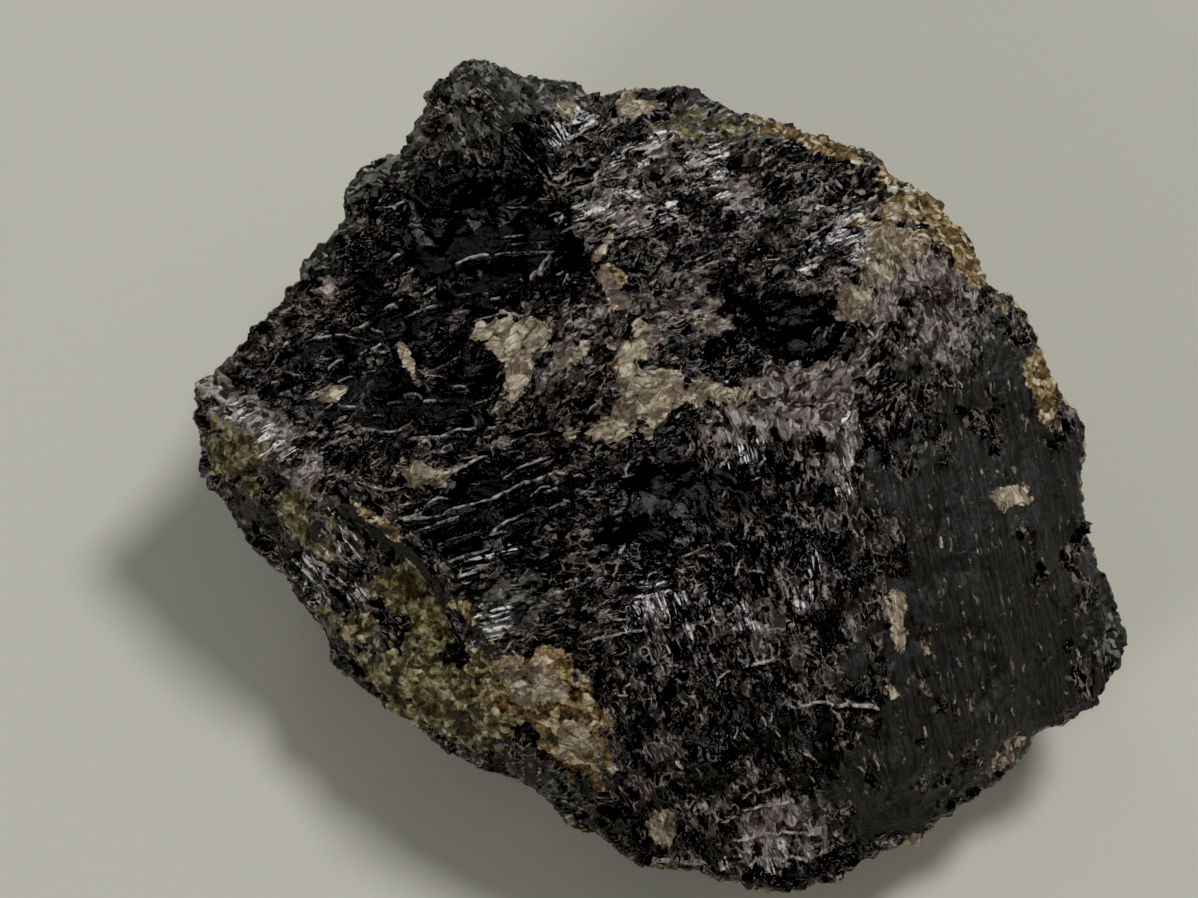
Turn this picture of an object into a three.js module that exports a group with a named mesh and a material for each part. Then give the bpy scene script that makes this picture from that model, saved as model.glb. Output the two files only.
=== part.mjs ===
// A hand-sized lump of black aegirine and pale quartz, broken on every side, on the small flat it rests on.
// Millimetres, +Z up, with the origin in the middle of that flat.

import * as THREE from "three";

// The stone's upper side is set out as it shows from one sight point, in front of it and above.
// A landmark is [across, up, height]: its place on the sight plane, and its height above the rest.
const SIGHT_ELEVATION = THREE.MathUtils.degToRad(62);
const SIGHT_DISTANCE = 500; // from the sight point to the sight plane
const SIGHT_AIM = new THREE.Vector3(-5, 3, 23); // the middle of the sight plane

// The stone's outline from the left tip, over the back and down the right side, to the front and home
const OUTLINE = [
  // Left tip, and the left flank of the back
  [-40.6, 6.8, 24], [-36.9, 9.2, 24.5], [-35.8, 10.8, 24.5], [-34.3, 12.7, 25], [-32.9, 13.9, 25],
  [-31.5, 15.9, 25.5], [-29.9, 18.7, 26], [-27.4, 20.9, 27], [-25.7, 23.4, 28], [-24.8, 26.9, 29],
  [-22.4, 28.7, 30], [-19.4, 29.9, 30.5], [-17.4, 32.1, 31], [-15.8, 35.1, 32],
  // Knob
  [-15.2, 36.9, 32.5], [-13.7, 38.4, 33], [-10.9, 39, 33.5], [-8.7, 38.7, 33.5], [-6.9, 37.9, 33],
  [-3.9, 37.3, 32.5], [-1.9, 37, 32], [0.6, 35.2, 31.5],
  // Back
  [2.1, 35.7, 32], [4.6, 35.3, 32.5], [7.1, 35.8, 33], [9.8, 36.2, 33.5], [11.6, 34.8, 33.5],
  [13.6, 33.9, 34], [16.6, 32.5, 34.5], [20.6, 31.1, 35], [22.6, 31.4, 35], [25.1, 30.5, 35],
  [28.1, 28.7, 35.5], [30.6, 27.1, 36], [32.6, 25.7, 36.5], [34.6, 23.4, 37], [36.9, 20.9, 37.5],
  [38.6, 16.9, 38],
  // Right side
  [41.1, 14.9, 36.5], [42.6, 12.9, 35], [43.6, 10.4, 33.5], [45.3, 7.7, 31.5], [46.3, 5.7, 30.5],
  [48.4, 2.9, 28], [48.6, -1.1, 26.5], [48.3, -3.1, 26], [49, -6.1, 24.5], [49.3, -9.6, 23],
  [49.7, -11.1, 22], [51.3, -12.6, 20.5], [52.3, -16.1, 18.5], [53.2, -19.1, 17], [52.6, -21.6, 16],
  [51.3, -23.1, 15.5], [49.9, -25.1, 15], [47.6, -26.6, 14.5],
  // Front right
  [43.6, -27.9, 14], [42.6, -30.1, 13], [40.4, -32.9, 12.5], [37.6, -34.1, 12.5], [35.6, -35.6, 12],
  [34.1, -38.1, 11.5], [32.1, -39.9, 11], [29.6, -40.6, 11], [27.1, -41.3, 11],
  // Front
  [24.1, -41.3, 11.5], [23.1, -43.1, 10.5], [21.6, -43.9, 10], [18.6, -43.7, 10], [14.1, -43.7, 10],
  [10.6, -43.7, 10], [9.1, -42.3, 11], [6.1, -41.9, 11], [5.3, -40.7, 11.5], [3.6, -40.6, 11.5],
  [1.1, -39.6, 11.5], [-0.1, -37.6, 12], [-2.4, -36.3, 12], [-3.9, -36.9, 11.5], [-4.7, -35.1, 12],
  [-5.9, -33.6, 12.5],
  // Rusty front-left side
  [-7.9, -32.4, 12.5], [-10.9, -31.3, 12.5], [-13.9, -30.8, 12], [-16.9, -29.6, 12], [-18.9, -28.1, 12],
  [-21.9, -25.7, 12], [-24.4, -23.9, 12], [-26.4, -21.6, 12], [-28.1, -19.1, 12.5], [-28.7, -16.6, 13],
  [-29.9, -13.9, 13], [-32.9, -10.8, 13], [-35.9, -7.9, 13.5], [-38.4, -5.1, 14], [-40.4, -2.6, 14.5],
  [-40.9, -1.3, 15], [-40.3, 1.9, 18], [-40.5, 4.9, 21.5],
];

const INNER = [
  // Upper edge of the rusty side, from the left tip to the front
  [-38.4, 3.7, 24.5], [-34.4, 0.9, 25.5], [-30.9, -2.1, 26], [-27.4, -4.3, 26.5], [-23.4, -7.1, 26.5],
  [-19.4, -10.1, 26.5], [-15.9, -13.1, 26.5], [-13.4, -16.1, 27], [-11.9, -18.6, 27], [-7.9, -20.6, 27.5],
  [-3.9, -23.1, 26.5], [-1.4, -27.1, 24], [0.1, -31.1, 20],
  // Rusty side: the dark fillet under the edge, the bright blades, the pale lobe and the dark pocket
  [-36.9, -1.1, 20.5], [-33.4, -5.6, 19.5], [-29.4, -8.1, 21], [-27.9, -11.1, 19.5], [-24.4, -11.6, 21],
  [-26.4, -16.1, 16], [-23.4, -15.1, 18.5], [-24.4, -19.1, 18], [-20.4, -20.6, 19], [-19.9, -16.1, 20],
  [-15.9, -17.6, 22.5], [-17.4, -23.1, 18.5], [-11.9, -22.1, 22.5], [-11.4, -27.1, 18.5],
  [-6.9, -24.1, 22.5], [-5.9, -28.6, 18.5], [-2.4, -32.1, 16.5],
  // Spine from the knob down to the middle
  [-11.4, 36.1, 35.5], [-8.4, 33.9, 36], [-5.9, 30.9, 36.5], [-4.4, 27.4, 37], [-2.9, 23.9, 37],
  [-0.9, 19.9, 37.5], [0.1, 15.9, 38], [1.6, 11.9, 38.5], [4.1, 8.4, 39.5],
  // Pale band from the middle to the crest at the back right
  [5.6, 5.9, 39.5], [10.1, 5.4, 38.5], [14.6, 4.4, 38.5], [18.6, 4.6, 38.5], [22.6, 5.9, 39.5],
  [25.1, 8.4, 40.5], [28.1, 12.4, 42], [31.1, 16.4, 43], [33.6, 19.1, 43],
  // Groove beside the spine, and the upper facet behind it
  [-7.9, 29.4, 34], [-5.4, 25.4, 33.5], [-3.4, 21.4, 34], [-1.4, 33.4, 34.5], [2.1, 29.9, 35.5],
  [6.1, 31.1, 35], [9.6, 27.9, 35.5], [5.6, 23.9, 36.5], [10.1, 20.4, 37.5], [15.6, 26.4, 36.5],
  [20.1, 25.9, 37], [16.6, 19.9, 38.5], [24.6, 24.9, 38], [28.1, 22.9, 39.5], [27.1, 18.9, 40.5],
  // Lip over the dark hollow, and the hollow's floor
  [12.6, 16.4, 38.5], [17.1, 16.1, 40], [21.6, 15.9, 40.5], [25.1, 15.9, 40.5],
  [13.9, 12.6, 35], [16.6, 9.6, 34], [20.1, 8.9, 34], [23.4, 10.4, 35.5], [10.1, 12.1, 38.5],
  [12.1, 8.9, 37],
  // Left slope, under the spine
  [-20.4, 26.4, 31], [-15.4, 28.4, 32.5], [-12.4, 31.9, 34], [-18.4, 20.4, 29.5], [-10.4, 22.4, 31.5],
  [-4.4, 18.4, 34], [-4.9, 14.4, 34.5], [-10.4, 15.9, 31.5], [-22.9, 14.4, 27], [-16.4, 12.9, 29],
  [-27.4, 15.1, 26], [-29.4, 10.4, 25.5], [-22.4, 8.4, 27], [-11.9, 9.4, 31.5], [-7.4, 11.4, 34],
  [-16.4, 5.4, 28.5], [-10.4, 4.4, 31], [-5.4, 6.4, 35], [-0.4, 6.9, 37.5], [-27.4, 3.4, 26],
  [-21.4, 0.9, 27], [-14.4, -0.6, 29], [-7.4, 0.9, 32.5], [-2.4, 1.9, 36], [-16.9, -6.1, 28],
  [-10.4, -5.1, 31], [-4.4, -3.1, 34],
  // Brow over the front hollow, the hollow, and the bench below it
  [1.1, 0.9, 37.5], [5.6, 0.4, 38], [9.6, -1.1, 37.5], [13.6, -3.1, 37], [17.1, -2.1, 37.5],
  [1.1, -5.1, 34.5], [5.1, -6.1, 32.5], [9.6, -6.6, 32.5], [13.1, -8.1, 33], [3.1, -11.1, 31],
  [8.6, -12.1, 31], [13.1, -12.1, 32], [-1.4, -11.6, 33], [-6.4, -10.6, 31], [-9.4, -14.6, 29.5],
  [-1.4, -15.6, 32], [5.1, -16.1, 31.5], [10.6, -16.6, 31], [-4.4, -19.1, 29],
  // Ridge down the left side of the plain face
  [21.1, 0.9, 39], [25.4, 2.4, 40], [25.9, -2.1, 39], [25.1, -7.1, 37.5], [23.6, -13.1, 35],
  [24.1, -19.1, 31.5], [25.4, -25.1, 27.5], [26.6, -31.1, 22.5], [27.4, -36.1, 17.5],
  // Front slope
  [18.6, -8.1, 35.5], [17.6, -14.1, 33.5], [16.6, -20.6, 30.5], [10.1, -22.1, 28.5], [3.6, -22.1, 29],
  [1.6, -27.1, 26], [7.1, -28.1, 25], [13.6, -27.6, 26.5], [19.6, -26.1, 27.5], [5.1, -33.1, 20.5],
  [11.1, -33.6, 20.5], [17.6, -33.1, 21.5], [22.1, -32.1, 22.5], [3.1, -37.1, 15.5], [8.6, -38.6, 15],
  [14.6, -37.4, 17.5], [20.6, -37.1, 17.5], [14.6, -41.1, 13], [21.1, -41.1, 13],
  // Plain face, from the crest to the right tip
  [32.1, 13.4, 42], [36.1, 14.6, 39.5], [31.1, 6.4, 40.5], [37.1, 7.4, 37.5], [42.1, 6.4, 34],
  [31.1, -1.1, 37.5], [38.1, -0.6, 34], [44.1, -1.1, 30], [30.6, -9.1, 34.5], [37.6, -8.6, 31.5],
  [44.1, -9.1, 27.5], [30.1, -17.1, 30.5], [37.1, -16.1, 28], [43.6, -16.6, 24], [48.1, -15.1, 22.5],
  [31.1, -25.1, 25.5], [37.6, -24.1, 22.5], [43.6, -23.1, 19.5], [49.1, -20.6, 18], [31.1, -32.6, 19.5],
  [36.1, -30.6, 18.5],
];

// The stone's walls below the outline, by rows: [bearing in degrees, share of the outline's reach, height].
// Bearing 0 is to the right and 90 to the back.
const WALL_ROWS = [
  [
    [2, 0.98, 16], [22, 0.97, 25], [42, 1.0, 27], [60, 1.04, 25], [78, 1.06, 22], [97, 1.07, 24],
    [116, 1.05, 20], [135, 1.0, 19], [150, 0.97, 17], [162, 0.95, 15.5], [171, 0.93, 10.5],
    [184, 0.93, 8.5], [198, 0.94, 8], [215, 0.95, 8.5], [232, 0.94, 8], [252, 0.93, 8], [270, 0.96, 7],
    [290, 0.95, 7.5], [310, 0.94, 8], [330, 0.95, 9], [346, 0.96, 10.5],
  ],
  [
    [-5, 0.86, 6.5], [14, 0.9, 12], [34, 0.94, 14], [54, 1.0, 12], [72, 0.98, 9.5], [90, 1.05, 13],
    [108, 0.97, 9], [127, 0.9, 8.5], [146, 0.92, 9], [164, 0.85, 6], [184, 0.82, 4], [204, 0.83, 4],
    [226, 0.86, 4], [246, 0.82, 3.5], [266, 0.86, 3.2], [286, 0.84, 3.5], [304, 0.83, 3.5],
    [322, 0.85, 4], [340, 0.88, 5.5],
  ],
];
const FOOT = [
  [10, 0.56], [38, 0.5], [66, 0.62], [96, 0.66], [124, 0.5], [156, 0.46], [188, 0.5], [222, 0.6],
  [256, 0.56], [288, 0.62], [322, 0.54],
];

// Texture of the broken surface
const FACE_TARGET = 2.4; // longest edge on the upper side
const WALL_TARGET = 4.6; // longest edge on the walls
const ROUNDING = 0.35; // how far each point moves to the middle of its neighbours
const LUMPS = { size: 11, height: 0.9 };
const CHIPS = { size: 7.5, tilt: 0.26 }; // flat chips, each tilted its own way
// Parallel ledges along the cleavage: their spacing and drop, their lean in degrees, how far they sway
// over what distance, and the run along which a ledge keeps its drop
const LEDGES = { spacing: 5.2, drop: 0.9, lean: 14, sway: 2.2, swaySize: 13, run: 15 };
const CLEARANCE = 0.35; // least height of anything but the foot
const CALM_HEIGHT = 4; // height above the rest at which the texture reaches its full strength

// How strong the ledges are: [across, up, radius, strength], the last that covers a place counting
const LEDGE_ZONES = [
  [0, 0, 70, 0.7],
  [-14, 8, 22, 1],
  [20, 25, 16, 0.9],
  [40, -12, 22, 0.15],
  [-24, -18, 16, 0.3],
];

const toSight = new THREE.Vector3(0, -Math.cos(SIGHT_ELEVATION), Math.sin(SIGHT_ELEVATION));
const sightUp = new THREE.Vector3(0, Math.sin(SIGHT_ELEVATION), Math.cos(SIGHT_ELEVATION));
const sightPoint = SIGHT_AIM.clone().addScaledVector(toSight, SIGHT_DISTANCE);

// A landmark's point on the stone: where its line of sight comes down to its height
function landmarkPoint([across, up, height]) {
  const onPlane = SIGHT_AIM.clone().addScaledVector(sightUp, up);
  onPlane.x += across;
  const share = (height - sightPoint.z) / (onPlane.z - sightPoint.z);
  return sightPoint.clone().lerp(onPlane, share);
}

// True if p lies inside the circle through the counter-clockwise triangle a, b, c
function inCircle(a, b, c, p) {
  const rows = [a, b, c].map(([x, y]) => [x - p[0], y - p[1]]);
  const [A, B, C] = rows.map(([x, y]) => [x, y, x * x + y * y]);
  return A[0] * (B[1] * C[2] - B[2] * C[1]) - A[1] * (B[0] * C[2] - B[2] * C[0])
    + A[2] * (B[0] * C[1] - B[1] * C[0]) > 0;
}

const FAR = 1e4; // a triangle of this size holds every landmark

// Delaunay triangles of flat points, by adding one point at a time
function triangulate(points) {
  const all = [...points, [-FAR, -FAR], [FAR, -FAR], [0, FAR]];
  const n = points.length;
  let triangles = [[n, n + 1, n + 2]];
  for (let i = 0; i < n; i++) {
    const open = new Map();
    const kept = [];
    for (const t of triangles) {
      if (!inCircle(all[t[0]], all[t[1]], all[t[2]], all[i])) {
        kept.push(t);
        continue;
      }
      for (const [a, b] of [[t[0], t[1]], [t[1], t[2]], [t[2], t[0]]]) {
        if (!open.delete(`${b},${a}`)) open.set(`${a},${b}`, [a, b]);
      }
    }
    triangles = kept;
    for (const [a, b] of open.values()) triangles.push([a, b, i]);
  }
  return triangles.filter((t) => t.every((k) => k < n));
}

function insidePolygon([x, y], polygon) {
  let inside = false;
  polygon.forEach(([ax, ay], i) => {
    const [bx, by] = polygon[(i + 1) % polygon.length];
    if ((ay > y) !== (by > y) && x < ax + ((y - ay) / (by - ay)) * (bx - ax)) inside = !inside;
  });
  return inside;
}

// The triangles of a sheet whose first points are its rim, without those outside the rim
function sheetTriangles(flat, rimCount) {
  const rim = flat.slice(0, rimCount);
  return triangulate(flat).filter((t) => {
    const middle = [0, 1].map((k) => (flat[t[0]][k] + flat[t[1]][k] + flat[t[2]][k]) / 3);
    return insidePolygon(middle, rim);
  });
}

// The rim's distance from the origin at a bearing, seen from above
function rimReach(rim, bearing) {
  const d = new THREE.Vector2(Math.cos(bearing), Math.sin(bearing));
  let reach = 0;
  rim.forEach((p, i) => {
    const q = rim[(i + 1) % rim.length];
    const e = new THREE.Vector2(q.x - p.x, q.y - p.y);
    const det = d.cross(e);
    if (Math.abs(det) < 1e-9) return;
    const from = new THREE.Vector2(p.x, p.y);
    const along = from.cross(e) / det;
    const share = from.cross(d) / det;
    if (along > 0 && share >= 0 && share <= 1) reach = Math.max(reach, along);
  });
  return reach;
}

const FULL_TURN = 2 * Math.PI;
const turnOf = (point) => -Math.atan2(point.y, point.x); // clockwise

// The turns of a ring's points and of its first one again, never falling
function ringTurns(ring, points, first) {
  const turns = [first];
  for (const index of ring.slice(1)) {
    const last = turns.at(-1);
    let turn = turnOf(points[index]);
    while (turn < last - Math.PI) turn += FULL_TURN;
    turns.push(Math.max(turn, last));
  }
  return [...turns, first + FULL_TURN];
}

// A band of triangles from a ring to the next one inward, both clockwise from above
function band(outer, inner, points) {
  const zero = turnOf(points[outer[0]]);
  const past = inner.map((index) => (turnOf(points[index]) - zero + 2 * FULL_TURN) % FULL_TURN);
  const start = past.indexOf(Math.min(...past));
  const ring = [...inner.slice(start), ...inner.slice(0, start)];
  const outerTurns = ringTurns(outer, points, zero);
  const innerTurns = ringTurns(ring, points, zero + past[start]);
  const made = [];
  let [i, j] = [0, 0];
  while (i < outer.length || j < ring.length) {
    const [a, b] = [outer[i % outer.length], ring[j % ring.length]];
    const outerNext = i < outer.length && (j === ring.length || outerTurns[i + 1] <= innerTurns[j + 1]);
    made.push([a, outerNext ? outer[(i + 1) % outer.length] : ring[(j + 1) % ring.length], b]);
    if (outerNext) i++;
    else j++;
  }
  return made;
}

// The stone as a coarse closed hull: points, and triangles that each say which sheet they are on
function coarseHull() {
  const upper = [...OUTLINE, ...INNER];
  const points = upper.map(landmarkPoint);
  const rim = OUTLINE.map((_, i) => i);
  const rimPoints = rim.map((i) => points[i]);
  const addRing = (row, heightOf) => row.map(([degrees, share, height]) => {
    const bearing = THREE.MathUtils.degToRad(degrees);
    const reach = rimReach(rimPoints, bearing) * share;
    const [x, y] = [Math.cos(bearing) * reach, Math.sin(bearing) * reach];
    return points.push(new THREE.Vector3(x, y, heightOf(height))) - 1;
  }).reverse();

  const rings = [rim, ...WALL_ROWS.map((row) => addRing(row, (height) => height))];
  const foot = addRing(FOOT, () => 0);
  rings.push(foot);
  const middle = points.push(new THREE.Vector3()) - 1;
  const walls = rings.slice(1).flatMap((ring, k) => band(rings[k], ring, points));
  const flat = foot.map((index, i) => [index, foot[(i + 1) % foot.length], middle]);
  const top = sheetTriangles(upper.map(([across, up]) => [across, up]), rim.length);
  const named = (list, sheet) => list.map((t) => ({ t, sheet }));
  return { points, triangles: [...named(top, "face"), ...named(walls, "wall"), ...named(flat, "foot")] };
}

// Splits each triangle's longest edge while that is too long for its sheet
function refine({ points, triangles }) {
  const target = { face: FACE_TARGET, wall: WALL_TARGET, foot: Infinity };
  const key = (a, b) => (a < b ? `${a},${b}` : `${b},${a}`);
  for (;;) {
    const middles = new Map();
    for (const { t, sheet } of triangles) {
      const lengths = t.map((a, e) => points[a].distanceTo(points[t[(e + 1) % 3]]));
      const longest = Math.max(...lengths);
      if (longest <= target[sheet]) continue;
      const e = lengths.indexOf(longest);
      const [a, b] = [t[e], t[(e + 1) % 3]];
      if (middles.has(key(a, b))) continue;
      middles.set(key(a, b), points.push(points[a].clone().lerp(points[b], 0.5)) - 1);
    }
    if (!middles.size) return { points, triangles };
    triangles = triangles.flatMap((one) => splitTriangle(one, middles, key, points));
  }
}

function splitTriangle({ t, sheet }, middles, key, points) {
  const mid = [0, 1, 2].map((e) => middles.get(key(t[e], t[(e + 1) % 3])));
  const split = mid.filter((m) => m !== undefined).length;
  const made = [];
  if (split === 0) made.push(t);
  if (split === 3) {
    made.push([t[0], mid[0], mid[2]], [t[1], mid[1], mid[0]], [t[2], mid[2], mid[1]], mid);
  }
  if (split === 1) {
    const e = mid.findIndex((m) => m !== undefined);
    const [a, b, c] = [t[e], t[(e + 1) % 3], t[(e + 2) % 3]];
    made.push([a, mid[e], c], [mid[e], b, c]);
  }
  if (split === 2) {
    const e = mid.findIndex((m) => m === undefined); // edge a-b stays whole
    const [a, b, c] = [t[e], t[(e + 1) % 3], t[(e + 2) % 3]];
    const [bc, ca] = [mid[(e + 1) % 3], mid[(e + 2) % 3]];
    made.push([c, ca, bc]);
    if (points[a].distanceTo(points[bc]) < points[b].distanceTo(points[ca])) {
      made.push([a, b, bc], [a, bc, ca]);
    } else {
      made.push([a, b, ca], [b, bc, ca]);
    }
  }
  return made.map((m) => ({ t: m, sheet }));
}

// A repeatable number from 0 to 1 for a cell of space
function cellNumber(x, y, z) {
  const s = Math.sin(x * 127.1 + y * 311.7 + z * 74.7) * 43758.5453;
  return s - Math.floor(s);
}

// Smooth noise from -1 to 1
function noise(x, y, z) {
  const cell = [x, y, z].map(Math.floor);
  const ease = [x, y, z].map((v, k) => THREE.MathUtils.smoothstep(v - cell[k], 0, 1));
  let sum = 0;
  for (let corner = 0; corner < 8; corner++) {
    const step = [corner & 1, (corner >> 1) & 1, corner >> 2];
    const weight = step.reduce((w, s, k) => w * (s ? ease[k] : 1 - ease[k]), 1);
    sum += weight * cellNumber(cell[0] + step[0], cell[1] + step[1], cell[2] + step[2]);
  }
  return 2 * sum - 1;
}

function lumpHeight(p) {
  return LUMPS.height * noise(p.x / LUMPS.size, p.y / LUMPS.size, p.z / LUMPS.size);
}

const NEAR_CELLS = [-1, 0, 1].flatMap((x) => [-1, 0, 1].flatMap((y) => [-1, 0, 1].map(
  (z) => new THREE.Vector3(x, y, z),
)));

// Height of the flat chip that a point is on: the one whose middle is nearest
function chipHeight(p) {
  const base = p.clone().divideScalar(CHIPS.size).floor();
  let nearest = Infinity;
  let height = 0;
  for (const step of NEAR_CELLS) {
    const cell = base.clone().add(step);
    const pick = (salt) => cellNumber(cell.x + salt, cell.y - salt, cell.z + 2 * salt);
    const middle = new THREE.Vector3(pick(1), pick(2), pick(3)).add(cell).multiplyScalar(CHIPS.size);
    const apart = p.clone().sub(middle);
    if (apart.length() >= nearest) continue;
    nearest = apart.length();
    height = CHIPS.tilt * apart.dot(new THREE.Vector3(pick(4), pick(5), pick(6)).subScalar(0.5));
  }
  return height;
}

// Height of the ledge that a point is on: each falls slowly to the front and ends in a sharp drop
function ledgeHeight(p) {
  const across = p.x - SIGHT_AIM.x;
  const up = p.clone().sub(SIGHT_AIM).dot(sightUp);
  let strength = 0;
  for (const [x, y, radius, value] of LEDGE_ZONES) {
    if (Math.hypot(across - x, up - y) < radius) strength = value;
  }
  const lean = THREE.MathUtils.degToRad(LEDGES.lean);
  const sway = LEDGES.sway * noise(p.x / LEDGES.swaySize, p.y / LEDGES.swaySize, 0.5);
  const line = (up * Math.cos(lean) - across * Math.sin(lean) + sway) / LEDGES.spacing;
  const share = line - Math.floor(line);
  const size = 0.4 + cellNumber(Math.floor(line), Math.floor(across / LEDGES.run), 0);
  return strength * LEDGES.drop * size * (0.5 - share);
}

function vertexNormals(points, triangles) {
  const normals = points.map(() => new THREE.Vector3());
  const [u, v] = [new THREE.Vector3(), new THREE.Vector3()];
  for (const { t: [a, b, c] } of triangles) {
    u.subVectors(points[b], points[a]);
    v.subVectors(points[c], points[a]).cross(u).negate();
    for (const k of [a, b, c]) normals[k].add(v);
  }
  return normals.map((n) => n.normalize());
}

// Rounds the hull's straight edges a little, all but the foot
function round(points, triangles, fixed) {
  const sum = points.map(() => new THREE.Vector3());
  const count = points.map(() => 0);
  for (const { t } of triangles) {
    for (let e = 0; e < 3; e++) {
      const [a, b] = [t[e], t[(e + 1) % 3]];
      sum[a].add(points[b]);
      count[a] += 1;
    }
  }
  points.forEach((p, i) => {
    if (!fixed.has(i)) p.lerp(sum[i].divideScalar(count[i]), ROUNDING);
  });
}

function stoneGeometry() {
  const { points, triangles } = refine(coarseHull());
  const fixed = new Set(triangles.filter((f) => f.sheet === "foot").flatMap((f) => f.t));
  round(points, triangles, fixed);
  const normals = vertexNormals(points, triangles);
  const moved = points.map((p, i) => {
    if (fixed.has(i)) return p;
    const height = lumpHeight(p) + chipHeight(p) + (normals[i].dot(toSight) > 0 ? ledgeHeight(p) : 0);
    const q = p.clone().addScaledVector(normals[i], height * Math.min(1, p.z / CALM_HEIGHT));
    q.z = Math.max(q.z, CLEARANCE);
    return q;
  });
  const geometry = new THREE.BufferGeometry().setFromPoints(moved);
  geometry.setIndex(triangles.flatMap(({ t }) => t));
  geometry.computeVertexNormals();
  return geometry;
}

const material = new THREE.MeshStandardMaterial({ color: 0x1c1a1c, roughness: 0.45, metalness: 0 });
const stone = new THREE.Mesh(stoneGeometry(), material);
stone.name = "aegirine_quartz";

const specimen = new THREE.Group();
specimen.add(stone);
export default specimen;
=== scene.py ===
import math

import bpy
import numpy as np
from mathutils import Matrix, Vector


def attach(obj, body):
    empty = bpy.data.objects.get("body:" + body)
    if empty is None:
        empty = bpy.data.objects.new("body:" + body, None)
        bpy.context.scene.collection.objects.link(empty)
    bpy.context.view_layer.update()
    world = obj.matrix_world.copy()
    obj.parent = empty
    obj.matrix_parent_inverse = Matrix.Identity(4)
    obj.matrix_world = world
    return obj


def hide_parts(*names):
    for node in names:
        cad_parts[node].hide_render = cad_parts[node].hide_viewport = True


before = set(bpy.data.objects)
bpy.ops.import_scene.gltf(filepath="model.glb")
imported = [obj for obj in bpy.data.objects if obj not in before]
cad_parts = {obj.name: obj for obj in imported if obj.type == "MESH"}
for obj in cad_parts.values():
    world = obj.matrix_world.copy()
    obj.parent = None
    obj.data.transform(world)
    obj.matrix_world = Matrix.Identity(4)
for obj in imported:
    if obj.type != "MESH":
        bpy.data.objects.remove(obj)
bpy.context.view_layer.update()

MM = 0.001

# Camera: the stone is seen from in front and above
SIGHT_ELEVATION = math.radians(62)
SIGHT_DISTANCE = 500.0  # mm, from the camera to the sight plane
SIGHT_AIM = np.array([-5.0, 3.0, 23.0])  # mm, the middle of the sight plane
PICTURE_MIDDLE = (59.9, 44.9)  # mm, from the picture's left and top edges
PICTURE_WIDTH = 119.8  # mm, on the sight plane
TO_SIGHT = np.array([0, -math.cos(SIGHT_ELEVATION), math.sin(SIGHT_ELEVATION)])
SIGHT_UP = np.array([0, math.sin(SIGHT_ELEVATION), math.cos(SIGHT_ELEVATION)])


def make_camera():
    data = bpy.data.cameras.new("camera")
    data.sensor_width = 36
    data.lens = 36 * SIGHT_DISTANCE / PICTURE_WIDTH
    data.clip_start = 0.01
    camera = bpy.data.objects.new("camera", data)
    bpy.context.collection.objects.link(camera)
    camera.location = Vector((SIGHT_AIM + TO_SIGHT * SIGHT_DISTANCE) * MM)
    camera.rotation_euler = (math.pi / 2 - SIGHT_ELEVATION, 0, 0)
    bpy.context.scene.camera = camera


make_camera()


def seen(points):
    """Where points (mm) show in the picture: mm right of its left edge and below its top edge."""
    away = points - (SIGHT_AIM + TO_SIGHT * SIGHT_DISTANCE)
    scale = SIGHT_DISTANCE / -(away @ TO_SIGHT)
    return np.stack([PICTURE_MIDDLE[0] + away[:, 0] * scale,
                     PICTURE_MIDDLE[1] - (away @ SIGHT_UP) * scale], axis=1)


def leaned(points, lean):
    """Points (mm) on axes along a grain that leans so in the picture, across it, and towards the viewer."""
    turn = math.radians(lean)
    right, up = points[:, 0], points @ SIGHT_UP
    along = right * math.cos(turn) + up * math.sin(turn)
    across = up * math.cos(turn) - right * math.sin(turn)
    return np.stack([along, across, points @ TO_SIGHT], axis=1)


# Repeatable noise
CELL_PRIMES = (73856093, 19349663, 83492791)
SALT_PRIME = 2654435761
FIRST_MIX, SECOND_MIX = 0x2C1B3C6D, 0x297A2D39
LARGEST = 0xFFFFFFFF


def hashed(cell, salt):
    """A repeatable number from 0 to 1 for each whole-number cell (n, 3); each salt gives other numbers."""
    c = cell.astype(np.int64)
    h = (c[..., 0] * CELL_PRIMES[0]) ^ (c[..., 1] * CELL_PRIMES[1]) ^ (c[..., 2] * CELL_PRIMES[2])
    h ^= salt * SALT_PRIME
    h &= LARGEST
    h = ((h ^ (h >> 15)) * FIRST_MIX) & LARGEST
    h = ((h ^ (h >> 12)) * SECOND_MIX) & LARGEST
    h ^= h >> 15
    return h / LARGEST


def noise(p, size, salt):
    """Smooth noise from -1 to 1 with lumps of that size."""
    q = p / size + 100
    cell = np.floor(q)
    f = q - cell
    f = f * f * (3 - 2 * f)
    total = np.zeros(len(p))
    for corner in range(8):
        step = np.array([corner & 1, corner >> 1 & 1, corner >> 2])
        weight = np.prod(np.where(step, f, 1 - f), axis=1)
        total += weight * hashed(cell + step, salt)
    return 2 * total - 1


def rough(p, size, octaves, salt):
    """Several sizes of noise, each half as large and half as strong as the last."""
    total = np.zeros(len(p))
    for k in range(octaves):
        total += noise(p, size / 2**k, salt + k) / 2**k
    return total


def chips(p, salt):
    """Chips about 1 across: each point's chip's numbers, the way from its middle, and the gap to its edge."""
    q = p + 100
    base = np.floor(q)
    nearest = np.full(len(p), 9.0)
    second = np.full(len(p), 9.0)
    offset = np.zeros_like(p)
    own = np.zeros_like(p)
    for k in range(27):
        cell = base + np.array([k % 3 - 1, k // 3 % 3 - 1, k // 9 - 1])
        middle = cell + np.stack([hashed(cell, salt + s) for s in (1, 2, 3)], axis=1)
        apart = q - middle
        reach = np.sqrt((apart**2).sum(1))
        closer = reach < nearest
        second = np.where(closer, nearest, np.minimum(second, reach))
        nearest = np.where(closer, reach, nearest)
        offset[closer] = apart[closer]
        own[closer] = cell[closer]
    numbers = np.stack([hashed(own, salt + s) for s in (4, 5, 6)], axis=1)
    return numbers, offset, second - nearest


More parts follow.
